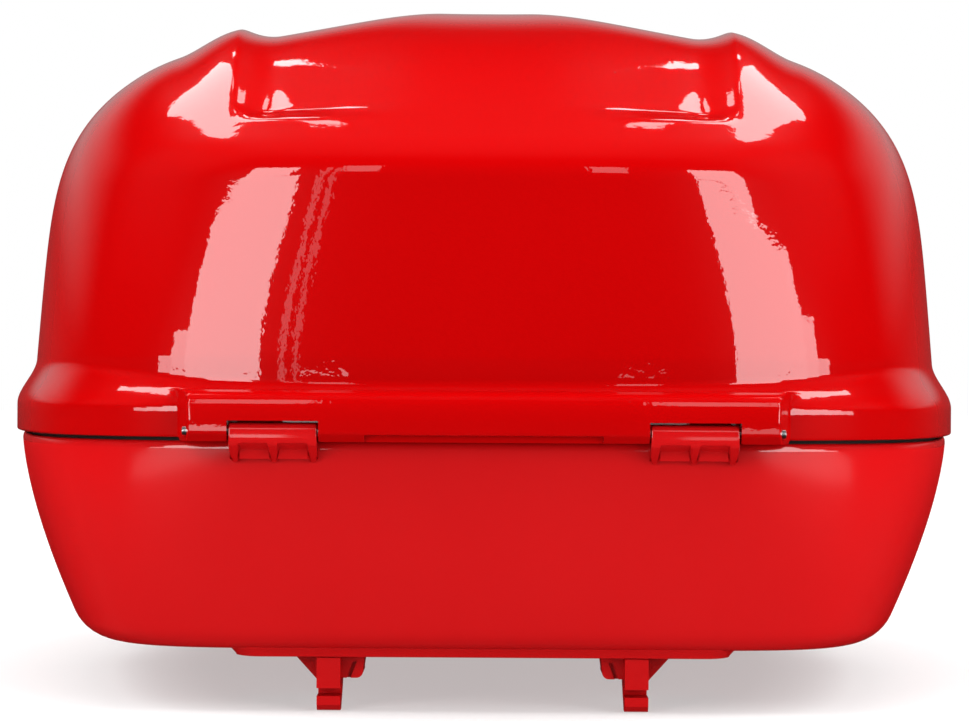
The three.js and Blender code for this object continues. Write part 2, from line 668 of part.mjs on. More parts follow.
// ---- rear reflectors ----------------------------------------------------------------------------
// Slim lenses on the lid's rear wall, cut to its curve.
function reflector(side) {
  const { inner, outer, low, high, corner, stand } = REFLECTOR;
  const block = solid(alongY(roundedRect(inner, outer, low, high, corner), 120, 215, 4));
  const shaped = block.intersect(solid(lidForm(LID_BOTTOM, -stand)));
  const made = geometryOf(cut(shaped, lidForm(LID_BOTTOM, -GAP)));
  return side > 0 ? made : mirrored(made);
}

// ---- rack latch ---------------------------------------------------------------------------------
function latchHousing() {
  const { halfWidth: w, front, rear } = LATCH;
  const blockShape = outline([
    [front, -GAP],
    [front, FOOT_Z + 4],
    [front + 4, FOOT_Z],
    [rear - 4, FOOT_Z],
    [rear, FOOT_Z + 3],
    [rear, -GAP],
  ]);
  const block = solid(alongX(blockShape, -w, w));
  return cut(
    block,
    box(-12.3, 12.3, front - 5, 153.3, -16, -5.7),
    box(-12.3, 12.3, 150, 157, -16, -12.5),
    box(-14.5, 14.5, 156.3, rear + 5, -18.6, -1),
    rodX(2.1, -w - 5, 20.5, LEVER_AXIS.y, LEVER_AXIS.z, 16),
    ...SIDES.map(([, s]) => rodZ(SCREW_HOLE, -11, 5, s * LATCH_SCREW.x, LATCH_SCREW.y)),
  );
}

function rackBolt() {
  const { halfWidth: w, nose, shoulder, tail, low, high } = BOLT;
  const section = outline([
    [nose, high],
    [nose, -10.5],
    [nose + 5, low],
    [shoulder, low],
    [shoulder, high],
  ]);
  const body = joined(alongX(section, -w, w), box(-9, 9, shoulder - 2, tail, low, low + 2.5));
  return cut(body, box(-6, 6, 161, 166.5, low - 2, low + 4));
}

function releaseLever() {
  const { y, z } = LEVER_AXIS;
  const dip = THREE.MathUtils.degToRad(-35);
  const [c, d] = [Math.cos(dip), Math.sin(dip)];
  const at = (along, up) => [y + along * c - up * d, z + along * d + up * c];
  const paddle = outline([
    at(0, 1.8),
    at(17, 1.5),
    at(21.5, 2.6),
    at(23, 1.4),
    at(22, -0.4),
    at(17, -1.5),
    at(0, -1.8),
  ]);
  const body = joined(
    rodX(4, -LEVER_HALF, LEVER_HALF, y, z, 20),
    alongX(paddle, -LEVER_HALF, LEVER_HALF),
    box(-5, 5, y - 1.5, y + 1.5, z - 9.5, z),
  );
  return cut(body, rodX(2, -20, 20, y, z, 16));
}

function boltSpring() {
  class Helix extends THREE.Curve {
    getPoint(t) {
      const angle = 2 * Math.PI * SPRING.turns * t;
      const y = mix(BOLT.shoulder + 1, 152.6, t);
      return new THREE.Vector3(SPRING.r * Math.cos(angle), y, SPRING.z + SPRING.r * Math.sin(angle));
    }
  }
  const wire = new THREE.Shape();
  wire.absarc(0, 0, SPRING.wire, 0, 2 * Math.PI);
  return new THREE.ExtrudeGeometry(wire, {
    extrudePath: new Helix(),
    steps: SPRING.turns * 8,
    curveSegments: 2,
    bevelEnabled: false,
  });
}

function addRackLatch() {
  add("rack_latch_housing", geometryOf(latchHousing()), BLACK_PLASTIC);
  add("rack_bolt", geometryOf(rackBolt()), STEEL);
  add("rack_release_lever", geometryOf(releaseLever()), BLACK_PLASTIC);
  add("rack_lever_pin", rodX(1.75, -35, 20, LEVER_AXIS.y, LEVER_AXIS.z, 12), STEEL);
  add("rack_bolt_spring", boltSpring(), STEEL);
}

// ---- assembly -----------------------------------------------------------------------------------
add("base_shell", geometryOf(baseShell()), BASE_PAINT);
add("floor_mat", geometryOf(floorMat()), MAT_RUBBER);
add("lid_shell", geometryOf(lidShell()), LID_PAINT);
add("rim_gasket", geometryOf(rimGasket()), RUBBER);
addHinge();
addMounting();
addLock();
addStriker();
for (const [label, s] of SIDES) add(`rear_reflector_${label}`, reflector(s), REFLEX_RED);
addRackLatch();

export default topCase;
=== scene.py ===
"""Looks of the motorcycle top case: fine lacquered shells, moulded hinge tongues, trim and materials."""
import math

import bmesh
import bpy
import numpy as np
from mathutils import Matrix, Vector


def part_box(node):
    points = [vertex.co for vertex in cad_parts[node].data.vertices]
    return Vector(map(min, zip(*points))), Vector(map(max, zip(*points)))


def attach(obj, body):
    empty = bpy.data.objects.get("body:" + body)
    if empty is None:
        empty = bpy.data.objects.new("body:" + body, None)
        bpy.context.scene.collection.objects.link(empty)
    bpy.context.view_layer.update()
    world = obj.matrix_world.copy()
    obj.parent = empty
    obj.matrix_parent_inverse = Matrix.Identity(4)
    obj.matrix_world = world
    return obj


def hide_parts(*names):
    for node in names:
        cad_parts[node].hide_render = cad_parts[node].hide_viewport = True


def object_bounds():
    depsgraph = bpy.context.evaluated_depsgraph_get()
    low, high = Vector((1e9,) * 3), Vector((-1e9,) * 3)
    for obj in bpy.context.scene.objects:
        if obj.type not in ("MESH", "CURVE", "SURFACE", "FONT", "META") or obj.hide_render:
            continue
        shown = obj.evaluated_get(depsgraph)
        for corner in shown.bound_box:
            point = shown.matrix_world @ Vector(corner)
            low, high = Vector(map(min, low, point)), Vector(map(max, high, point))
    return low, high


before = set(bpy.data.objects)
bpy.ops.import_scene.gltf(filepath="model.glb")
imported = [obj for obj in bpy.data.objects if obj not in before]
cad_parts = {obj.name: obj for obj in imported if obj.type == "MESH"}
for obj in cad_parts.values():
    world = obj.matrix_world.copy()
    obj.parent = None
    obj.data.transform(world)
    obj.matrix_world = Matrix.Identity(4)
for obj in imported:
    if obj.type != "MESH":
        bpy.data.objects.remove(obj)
cad_low, cad_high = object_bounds()

MM = 0.001
SIDES = (("left", -1), ("right", 1))

# ---- sizes that the frame gives ------------------------------------------------------------------
LID_LOW, LID_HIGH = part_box("lid_shell")
BASE_LOW, BASE_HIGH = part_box("base_shell")
TONGUE_LOW, TONGUE_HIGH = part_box("hinge_tongue_right")
PIN_LOW, PIN_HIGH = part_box("hinge_pin_right")
GASKET_LOW, GASKET_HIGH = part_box("rim_gasket")
MAT_LOW, MAT_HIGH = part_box("floor_mat")
REFLECTOR_LOW, REFLECTOR_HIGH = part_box("rear_reflector_right")

WALL = 3 * MM
BASE_TOP = BASE_HIGH.z
STRIP_HANG = 1.3 * MM
LID_BOTTOM = LID_LOW.z + STRIP_HANG
PIN_Y = (PIN_LOW.y + PIN_HIGH.y) / 2
PIN_Z = (PIN_LOW.z + PIN_HIGH.z) / 2
KNUCKLE_R = TONGUE_HIGH.z - PIN_Z
TONGUE_X = (TONGUE_LOW.x + TONGUE_HIGH.x) / 2
TONGUE_HALF = (TONGUE_HIGH.x - TONGUE_LOW.x) / 2

# ---- forms shared with the CAD shells ------------------------------------------------------------
RIM = {"width": LID_HIGH.x, "depth": LID_HIGH.y, "n": 5}
DOME = {"width": RIM["width"] - 8.5 * MM, "depth": RIM["depth"] - 8 * MM, "n": 4.6}
ROOF_N = 3.8
BAND_TOP = 98 * MM
DOME_FOOT = 118 * MM
DOME_TOP = 276.2 * MM
FRONT_TAPER = 0.21
REAR_TAPER = 0.14
FRONT_FOOT = 109 * MM
PANEL = {"at": 86 * MM, "spread": 66 * MM, "depth": 4.2 * MM}
RIDGE = {"at": 108 * MM, "toe_in": 4.5 * MM, "inner": 17 * MM, "outer": 26 * MM, "height": 6.2 * MM}
RELIEF = {"from": 0.6, "panel": 0.67, "shoulder": 0.92}
BASE_BOTTOM = 3.3 * MM
BASE_RIM = {"width": BASE_HIGH.x, "depth": BASE_HIGH.y, "n": 5}
BASE_FLOOR_N = 8
SIDE_DRAFT = 0.125
END_DRAFT = 0.045
DRAFT_CURVE = 1.54
FLOOR_ROUND = 7 * MM
STRIP = {"half": 117 * MM, "front": LID_LOW.y, "top": 105.5 * MM, "slant": 3.5 * MM}


def smooth(a, b, v):
    share = np.clip((v - a) / (b - a), 0, 1)
    return share * share * (3 - 2 * share)


def mix(a, b, share):
    return a + (b - a) * share


def smooth_min(a, b, width):
    share = np.clip(0.5 + 0.5 * (b - a) / width, 0, 1)
    return mix(b, a, share) - width * share * (1 - share)


def smooth_max(a, b, width):
    return -smooth_min(-a, -b, width)


def direction(angle):
    """Directions round the plan, closer together at the corners."""
    c, s = np.cos(angle), np.sin(angle)
    return np.sign(c) * np.abs(c) ** 0.65, np.sign(s) * np.abs(s) ** 0.65


def plan_points(angle, plan, inset=0.0):
    """x, y and the share of the depth, on a superellipse that narrows towards both ends."""
    p, q = direction(angle)
    norm = (np.abs(p) ** plan["n"] + np.abs(q) ** plan["n"]) ** (-1 / plan["n"])
    along = q * norm
    taper = np.where(along < 0, FRONT_TAPER, REAR_TAPER)
    narrowing = 1 - taper * along**2 / (np.abs(along) + 0.25)
    return (plan["width"] - inset) * p * norm * narrowing, (plan["depth"] - inset) * along, along


def dome_reach(t, along):
    side = (1 - t**5.2) ** (1 / 1.8) * (1 - 0.063 * t)
    front = smooth_min(1 - 0.06 * t, 1.38 * np.sqrt(1 - t), 0.05)
    rear = (1 - t**3.4) ** (1 / 2.1) * (1 - 0.05 * t)
    return np.where(along < 0, mix(side, front, along**6), mix(side, rear, along**4))


def bump(u):
    return np.where(np.abs(u) < 1, (1 - u * u) ** 2, 0)


def crest(u):
    """Falls from 1 at u = 0 to 0 at u = 1, with a narrow rounded crest."""
    return np.clip(1.1 - np.hypot(u, 0.1), 0, None) ** 2


def sunk(d):
    return -PANEL["depth"] * bump((d - PANEL["at"]) / PANEL["spread"])


def roof_relief(x, y, t):
    """A panel that sinks in quickly between two ridges, with shoulders that swell slowly outside them."""
    d = np.abs(x)
    at = RIDGE["at"] - RIDGE["toe_in"] * smooth(0.3, 0.85, -y / DOME["depth"])
    inside = sunk(d) + RIDGE["height"] * crest((at - d) / RIDGE["inner"])
    outside = sunk(d) + RIDGE["height"] * bump((d - at) / RIDGE["outer"])
    shoulder = np.where(d < at, (sunk(at) + RIDGE["height"]) * bump((at - d) / RIDGE["outer"]), outside)
    step = np.where(d < at, inside - shoulder, 0)
    swell, sink = smooth(RELIEF["from"], RELIEF["shoulder"], t), smooth(RELIEF["from"], RELIEF["panel"], t)
    return shoulder * swell + step * sink


def dome_row(angle, t, inset=0.0):
    plan = {**DOME, "n": mix(DOME["n"], ROOF_N, smooth(0, 0.55, t))}
    x, y, along = plan_points(angle, plan, inset)
    reach = dome_reach(t, along)
    rise = (DOME_TOP - inset - DOME_FOOT) * t
    x, y = x * reach, y * reach
    z = DOME_FOOT + rise + roof_relief(x, y, t)
    return np.stack([x, y, z], 1)


def rim_row(angle, z, inset=0.0):
    low, high = plan_points(angle, RIM, inset), plan_points(angle, DOME, inset)
    foot = mix(DOME_FOOT, FRONT_FOOT, np.where(low[2] < 0, low[2] ** 6, 0))
    share = smooth(BAND_TOP, foot, z)
    x, y = mix(low[0], high[0], share), mix(low[1], high[1], share)
    return np.stack([x, y, np.full_like(x, z)], 1)


def base_row(angle, z, inset=0.0):
    low = BASE_BOTTOM + inset
    depth = float(np.clip((BASE_TOP - z) / (BASE_TOP - BASE_BOTTOM), 0, 1))
    draft = depth**DRAFT_CURVE
    radius = FLOOR_ROUND - max(0.0, inset)
    below = float(np.clip((low + radius - z) / radius, 0, 1))
    tuck = radius * (1 - math.sqrt(1 - below**2))
    plan = {
        "width": BASE_RIM["width"] * (1 - SIDE_DRAFT * draft),
        "depth": BASE_RIM["depth"] * (1 - END_DRAFT * draft),
        "n": mix(BASE_RIM["n"], BASE_FLOOR_N, depth),
    }
    x, y, _ = plan_points(angle, plan, inset + tuck)
    return np.stack([x, y, np.full_like(x, z)], 1)


# ---- mesh making ---------------------------------------------------------------------------------
def shade(mesh, sharp_degrees=38, turn_out=False):
    """Smooth faces, with the edges above an angle kept sharp."""
    b = bmesh.new()
    b.from_mesh(mesh)
    if turn_out:
        bmesh.ops.recalc_face_normals(b, faces=b.faces)
    limit = math.radians(sharp_degrees)
    for f in b.faces:
        f.smooth = True
    for e in b.edges:
        e.smooth = len(e.link_faces) == 2 and e.calc_face_angle(0) < limit
    b.to_mesh(mesh)
    b.free()


def rod(axis, radius, start, end, centre, sides=40):
    """Vertices and faces of a rod along the x, y or z axis; centre gives its other two coordinates."""
    angle = np.linspace(0, 2 * math.pi, sides, endpoint=False)
    across = np.column_stack([centre[0] + radius * np.cos(angle), centre[1] + radius * np.sin(angle)])
    return prism(axis, across, start, end)


def prism(axis, across, start, end):
    """Vertices and faces of a prism along an axis; its section holds the other two coordinates."""
    count = len(across)
    rows = [np.insert(across, "xyz".index(axis), level, axis=1) for level in (start, end)]
    faces = rows_to_faces(2, count)
    faces += [list(range(count)), list(range(2 * count - 1, count - 1, -1))]
    return np.concatenate(rows), faces


def cut(obj, cutters):
    """Cuts closed shapes, given as vertices and faces, out of an object's mesh."""
    vertices, faces, first = [], [], 0
    for points, polygons in cutters:
        vertices.append(points)
        faces += [[first + i for i in polygon] for polygon in polygons]
        first += len(points)
    tool = new_object("cutter", np.concatenate(vertices), faces, [])
    modifier = obj.modifiers.new("cut", "BOOLEAN")
    modifier.operation = "DIFFERENCE"
    modifier.solver = "MANIFOLD"
    modifier.object = tool
    shaped = obj.evaluated_get(bpy.context.evaluated_depsgraph_get())
    mesh = bpy.data.meshes.new_from_object(shaped)
    obj.modifiers.clear()
    old, obj.data = obj.data, mesh
    bpy.data.meshes.remove(old)
    bpy.data.meshes.remove(tool.data)
    shade(mesh)


def new_object(name, vertices, faces, materials, face_material=None, sharp_degrees=38):
    mesh = bpy.data.meshes.new(name)
    mesh.from_pydata([tuple(v) for v in vertices], [], faces)
    for m in materials:
        mesh.materials.append(m)
    if face_material is not None:
        mesh.polygons.foreach_set("material_index", face_material)
    shade(mesh, sharp_degrees, turn_out=True)
    obj = bpy.data.objects.new(name, mesh)
    bpy.context.scene.collection.objects.link(obj)
    return obj


def rows_to_faces(row_count, column_count, closed_columns=True):
    columns = np.arange(column_count if closed_columns else column_count - 1)
    after = (columns + 1) % column_count
    faces = []
    for row in range(row_count - 1):
        a, b = row * column_count + columns, row * column_count + after
        faces += np.stack([a, b, b + column_count, a + column_count], 1).tolist()
    return faces


def closed_skin(name, rows, materials, row_material=None, **options):
    """A closed skin through rings of equal length, capped at both ends."""
    count = len(rows[0])
    vertices = np.concatenate([*rows, [rows[0].mean(0)], [rows[-1].mean(0)]])
    faces = rows_to_faces(len(rows), count)
    first, last = len(rows) * count, len(rows) * count + 1
    bottom = (len(rows) - 1) * count
    for i in range(count):
        j = (i + 1) % count
        faces.append([first, j, i])
        faces.append([last, bottom + i, bottom + j])
    index = None
    if row_material is not None:
        index = [m for m in row_material for _ in range(count)]
        index += [row_material[0], row_material[-1]] * count
    return new_object(name, vertices, faces, materials, index, **options)


def unique_sorted(values, least):
    kept = []
    for v in sorted(values):
        if not kept or v - kept[-1] > least:
            kept.append(v)
    return np.array(kept)


def steps_near(edges, offsets):
    return [e + s * o for e in edges for o in offsets for s in (-1, 1)]


# ---- materials -----------------------------------------------------------------------------------
class Nodes:
    """A small helper that adds nodes to one material and links them."""

    def __init__(self, name):
        self.material = bpy.data.materials.new(name)
        self.material.use_nodes = True
        self.tree = self.material.node_tree
        self.shader = self.tree.nodes["Principled BSDF"]

    def add(self, kind, values=None, **fields):
        node = self.tree.nodes.new(kind)
        for key, value in fields.items():
            setattr(node, key, value)
        for key, value in (values or {}).items():
            node.inputs[key].default_value = value
        return node

    def link(self, source, target):
        self.tree.links.new(source, target)

    def set(self, **values):
        for key, value in values.items():
            self.shader.inputs[key.replace("_", " ")].default_value = value

    def coordinates(self, scale=(1, 1, 1)):
        place = self.add("ShaderNodeTexCoord")
        mapping = self.add("ShaderNodeMapping", {"Scale": scale})
        self.link(place.outputs["Object"], mapping.inputs["Vector"])
        return mapping.outputs["Vector"]

    def noise(self, scale, detail=3.0, roughness=0.55, stretch=(1, 1, 1)):
        node = self.add("ShaderNodeTexNoise", {"Scale": scale, "Detail": detail, "Roughness": roughness})
        self.link(self.coordinates(stretch), node.inputs["Vector"])
        return node.outputs["Fac"]

    def span(self, value, low, high):
        node = self.add("ShaderNodeMapRange", {"To Min": low, "To Max": high})
        self.link(value, node.inputs["Value"])
        return node.outputs["Result"]

    def blend_colors(self, factor, a, b):
        node = self.add("ShaderNodeMix", data_type="RGBA")
        node.inputs["A"].default_value = (*a, 1)
        node.inputs["B"].default_value = (*b, 1)
        self.link(factor, node.inputs["Factor"])
        return node.outputs["Result"]

    def bump(self, height, strength, distance, normal=None):
        node = self.add("ShaderNodeBump", {"Strength": strength, "Distance": distance})
        self.link(height, node.inputs["Height"])
        if normal is not None:
            self.link(normal, node.inputs["Normal"])
        return node.outputs["Normal"]


def lid_paint():
    """Thick glossy red lacquer with a faint orange peel."""
    n = Nodes("lid_gloss_red")
    n.set(Roughness=0.3, Specular_IOR_Level=0.02, Coat_Weight=1.0, Coat_Roughness=0.015, Coat_IOR=1.5)
    tone = n.blend_colors(n.noise(9.0, 4), (0.265, 0.0, 0.0002), (0.29, 0.0002, 0.0004))
    n.link(tone, n.shader.inputs["Base Color"])
    peel = n.bump(n.noise(260, 2), 0.05, 0.0006)
    flow = n.bump(n.noise(22, 1), 0.06, 0.0008, peel)
    n.link(flow, n.shader.inputs["Coat Normal"])
    n.link(peel, n.shader.inputs["Normal"])
    return n.material


def base_paint(name="base_satin_red", coat=0.14, coat_roughness=0.16):
    """Satin red paint over fine-grained moulded plastic."""
    n = Nodes(name)
    n.set(Specular_IOR_Level=0.03, Coat_Weight=coat, Coat_Roughness=coat_roughness)
    tone = n.blend_colors(n.noise(14.0, 5), (0.33, 0.002, 0.0028), (0.36, 0.003, 0.0038))
    n.link(tone, n.shader.inputs["Base Color"])
    n.link(n.span(n.noise(40, 4), 0.3, 0.4), n.shader.inputs["Roughness"])
    n.link(n.bump(n.noise(1500, 3), 0.12, 0.0003), n.shader.inputs["Normal"])
    return n.material


def raw_plastic():
    """The unpainted inside of the shells: dark moulded plastic with a spark-eroded grain."""
    n = Nodes("shell_inside_black")
    tone = n.blend_colors(n.noise(30, 5), (0.018, 0.018, 0.019), (0.032, 0.031, 0.032))
    n.link(tone, n.shader.inputs["Base Color"])
    n.link(n.span(n.noise(90, 3), 0.42, 0.6), n.shader.inputs["Roughness"])
    n.link(n.bump(n.noise(2200, 4), 0.3, 0.0004), n.shader.inputs["Normal"])
    return n.material


def black_plastic():
    n = Nodes("trim_black_plastic")
    tone = n.blend_colors(n.noise(50, 4), (0.012, 0.012, 0.013), (0.024, 0.024, 0.025))
    n.link(tone, n.shader.inputs["Base Color"])
    n.link(n.span(n.noise(120, 3), 0.36, 0.5), n.shader.inputs["Roughness"])
    n.link(n.bump(n.noise(2600, 4), 0.25, 0.0003), n.shader.inputs["Normal"])
    return n.material


def rubber():
    n = Nodes("soft_rubber")
    tone = n.blend_colors(n.noise(60, 4), (0.012, 0.012, 0.012), (0.028, 0.027, 0.026))
    n.link(tone, n.shader.inputs["Base Color"])
    n.link(n.span(n.noise(200, 3), 0.7, 0.88), n.shader.inputs["Roughness"])
    n.link(n.bump(n.noise(1800, 4), 0.3, 0.0004), n.shader.inputs["Normal"])
    return n.material


def steel(name="zinc_steel", color=(0.6, 0.61, 0.62), low=0.24, high=0.4):
    """Zinc-plated steel: faint brushing and cloudy plating."""
    n = Nodes(name)
    n.set(Metallic=1.0)
    darker = tuple(c * 0.82 for c in color)
    n.link(n.blend_colors(n.noise(120, 5), darker, color), n.shader.inputs["Base Color"])
    n.link(n.span(n.noise(300, 3, stretch=(1, 6, 6)), low, high), n.shader.inputs["Roughness"])
    n.link(n.bump(n.noise(1200, 2, stretch=(0.1, 1, 1)), 0.1, 0.0002), n.shader.inputs["Normal"])
    return n.material


def chrome():
    return steel("polished_chrome", (0.86, 0.87, 0.88), 0.04, 0.11)


def mat_rubber():
    """A floor mat with moulded fore-aft ribs."""
    n = Nodes("ribbed_mat")
    straight = {"Scale": 40.0, "Distortion": 0.0}
    wave = n.add("ShaderNodeTexWave", straight, wave_type="BANDS", bands_direction="X")
    n.link(n.coordinates(), wave.inputs["Vector"])
    # The tone follows the ribs' height: the grooves are painted darker than the rib tops, a painted shade in
    # the grooves.
    tone = n.blend_colors(wave.outputs["Fac"], (0.014, 0.014, 0.015), (0.04, 0.04, 0.042))
    n.link(tone, n.shader.inputs["Base Color"])
    n.link(n.span(n.noise(150, 3), 0.72, 0.92), n.shader.inputs["Roughness"])
    grain = n.bump(n.noise(1500, 3), 0.2, 0.0004)
    n.link(n.bump(wave.outputs["Fac"], 0.7, 0.0012, grain), n.shader.inputs["Normal"])
    return n.material


def reflex_lens():
    """A red reflector: a clear outer skin over a grid of small prisms."""
    n = Nodes("reflector_red")
    n.set(Roughness=0.2, Coat_Weight=1.0, Coat_Roughness=0.03)
    cells = n.add("ShaderNodeTexVoronoi", {"Scale": 380.0, "Randomness": 0.0}, distance="CHEBYCHEV")
    n.link(n.coordinates(), cells.inputs["Vector"])
    tone = n.blend_colors(cells.outputs["Distance"], (0.42, 0.002, 0.006), (0.12, 0.0, 0.002))
    n.link(tone, n.shader.inputs["Base Color"])
    n.link(n.bump(cells.outputs["Distance"], 0.8, 0.0012), n.shader.inputs["Normal"])
    return n.material


LID_PAINT = lid_paint()
BASE_PAINT = base_paint()
TONGUE_PAINT = base_paint("tongue_gloss_red", 0.9, 0.05)
INSIDE = raw_plastic()
BLACK = black_plastic()
RUBBER = rubber()
STEEL = steel()
CHROME = chrome()
MAT = mat_rubber()
REFLEX = reflex_lens()


# ---- lid -----------------------------------------------------------------------------------------
NOTCH_HALF = TONGUE_HALF + 0.5 * MM
NOTCH_TOP = PIN_Z + KNUCKLE_R + 0.7 * MM
LIP_SLOT = {"half": 46 * MM, "depth": 3.6 * MM, "top": LID_BOTTOM + 1.3 * MM}
HANG_REACH = 4 * MM


def lid_columns(count=640):
    """Angles round the plan, with extra ones where the hinge strip has edges."""
    angle = np.linspace(0, 2 * math.pi, count, endpoint=False)
    dense = np.linspace(math.pi, 2 * math.pi, 20001)
    x, _, along = plan_points(dense, RIM)
    front = along < -0.5
    fine = np.array([0.12, 0.35, 0.7, 1.2, 2.0]) * MM
    edges = [s * (TONGUE_X + e) for s in (-1, 1) for e in (-NOTCH_HALF, NOTCH_HALF)]
    edges += [LIP_SLOT["half"], -LIP_SLOT["half"]]
    ends = [s * (STRIP["half"] + e * MM) for s in (-1, 1) for e in np.arange(-5, 5, 0.5)]
    extra = np.interp(steps_near(edges, fine) + ends, x[front], dense[front])
    return unique_sorted([*angle, *extra], 1e-4)


def strip_front(z):
    """How far forward the hinge strip stands at a height: a bevel, a face and a round top edge."""
    profile = [(85.4, 3.1), (86.0, 2.5), (87.8, 0.62), (88.3, 0.18), (88.8, 0)]
    profile += [(91, 0), (94, 0.06), (96.5, 0.25)]
    profile += [(98.5, 0.55), (100.3, 1.0), (101.8, 1.6), (103.0, 2.5)]
    profile += [(104.1, 4.2), (105.0, 7.0), (105.5, 9.5)]
    heights, offsets = np.array(profile).T * MM
    front = np.interp(z, heights, STRIP["front"] + offsets)
    return np.where(z > STRIP["top"], STRIP["front"] + 30 * MM, front)


def add_strip(row):
    """Pulls the front wall out to the hinge strip, leaving room for the tongues."""
    x, y, z = row[:, 0], row[:, 1], row[:, 2]
    end = STRIP["front"] - MM + (np.abs(x) - STRIP["half"] + STRIP["slant"]) * 20 / 7
    from_tongue = np.abs(np.abs(x) - TONGUE_X)
    beside = smooth(NOTCH_HALF + 0.12 * MM, NOTCH_HALF - 0.12 * MM, from_tongue)
    in_notch = beside * smooth(NOTCH_TOP + 0.12 * MM, NOTCH_TOP - 0.12 * MM, z)
    out = y - smooth_max(np.full_like(y, STRIP["front"]), end, 1.2 * MM)
    hang = smooth(0.5 * MM, 2 * MM, out) * (1 - beside) * (y < 0)
    low = z - STRIP_HANG * np.clip(1 - (z - LID_BOTTOM) / HANG_REACH, 0, 1) * hang
    in_slot = smooth(LIP_SLOT["half"] + 0.12 * MM, LIP_SLOT["half"] - 0.12 * MM, np.abs(x))
    in_slot = in_slot * smooth(LIP_SLOT["top"] + 0.12 * MM, LIP_SLOT["top"] - 0.12 * MM, low)
    face = strip_front(low)
    face = smooth_max(mix(face, np.maximum(face, STRIP["front"] + LIP_SLOT["depth"]), in_slot), end, 1.2 * MM)
    pulled = mix(smooth_min(y, face, 1.4 * MM), y, in_notch)
    moved = row.copy()
    moved[:, 1] = np.where(y < 0, pulled, y)
    moved[:, 2] = low
    return moved


def rim_heights():
    stretch = 1 + STRIP_HANG / HANG_REACH
    hung = [LID_BOTTOM + (v * MM - LID_BOTTOM + STRIP_HANG) / stretch for v in (88.0, 88.5)]
    edges = [NOTCH_TOP, *hung, 99.5 * MM, 102.3 * MM, STRIP["top"]]
    fine = np.array([0.12, 0.4, 0.8]) * MM
    low = LID_BOTTOM + np.array([0, 0.15, 0.35, 0.6, 1.0]) * MM
    values = [*low, *steps_near(edges, fine), *np.arange(LID_BOTTOM + 2 * MM, DOME_FOOT, 1.3 * MM)]
    return [z for z in unique_sorted(values, 0.1 * MM) if LID_BOTTOM <= z < DOME_FOOT]


def dome_levels():
    walls = np.linspace(0, 0.86, 130)
    edge = np.linspace(RELIEF["from"], RELIEF["panel"], 16)
    reach = np.linspace(0.74, 0.012, 110)
    return unique_sorted([*walls, *edge, *((1 - reach**1.8) ** (1 / 5.2))], 1e-4)


def edge_inset(z, radius=0.7 * MM):
    rise = min(z - LID_BOTTOM, radius)
    return radius - math.sqrt(max(0.0, radius**2 - (radius - rise) ** 2))


def make_lid():
    angle = lid_columns()
    heights, levels = rim_heights(), dome_levels()
    outer = [dome_row(angle, t) for t in levels[::-1]]
    outer += [add_strip(rim_row(angle, z, edge_inset(z))) for z in heights[::-1]]
    flange = LID_BOTTOM + 3.3 * MM
    inner = [rim_row(angle, LID_BOTTOM, 2 * MM), rim_row(angle, LID_BOTTOM, 11 * MM)]
    inner += [rim_row(angle, flange, 11 * MM), rim_row(angle, flange, WALL)]
    inner += [rim_row(angle, z, WALL) for z in heights[::6] if z > flange + MM]
    inner += [dome_row(angle, t, WALL) for t in levels[::4]]
    materials = [0] * (len(outer) + 1) + [1] * (len(inner) - 2)
    lid = closed_skin("lid_gloss_shell", outer + inner, [LID_PAINT, INSIDE], materials)
    pin_centre, screw_low, screw_high = (PIN_Y, PIN_Z), LID_BOTTOM - 5 * MM, LID_BOTTOM + 6 * MM
    ends = [sorted((s * (PIN_LOW.x - MM), s * (PIN_HIGH.x + MM))) for _, s in SIDES]
    bores = [rod("x", 1.95 * MM, x0, x1, pin_centre) for x0, x1 in ends]
    centres = [screw_centre("striker_screw", label) for label, _ in SIDES]
    holes = [rod("z", 2.1 * MM, screw_low, screw_high, centre) for centre in centres]
    cut(lid, bores + holes)
    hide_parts("lid_shell")
    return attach(lid, "lid")


def screw_centre(kind, label):
    """Where a screw that stands along z has its axis."""
    low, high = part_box(f"{kind}_{label}")
    return (low.x + high.x) / 2, (low.y + high.y) / 2


# ---- base ----------------------------------------------------------------------------------------
def base_holes():
    """The lock's window and the holes for studs and screws."""
    half, low, high = 24.4 * MM, 43.6 * MM, 74.4 * MM
    window = rounded_rectangle(-half, half, low, high, 3.4 * MM)
    holes = [prism("y", window, 170 * MM, 215 * MM)]
    for label, _ in SIDES:
        for kind in ("hook_screw", "latch_screw"):
            for tail in ("_1", "_2") if kind == "hook_screw" else ("",):
                centre = screw_centre(kind, label + tail)
                holes.append(rod("z", 2.3 * MM, -5 * MM, 20 * MM, centre))
        low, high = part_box(f"lock_screw_{label}")
        holes.append(rod("y", 2.1 * MM, 180 * MM, 215 * MM, ((low.x + high.x) / 2, (low.z + high.z) / 2)))
        for place in ("inner", "outer"):
            low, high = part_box(f"hinge_nut_{label}_{place}")
            centre = (low.x + high.x) / 2, (low.z + high.z) / 2
            holes.append(rod("y", 1.85 * MM, -215 * MM, -180 * MM, centre))
    return holes


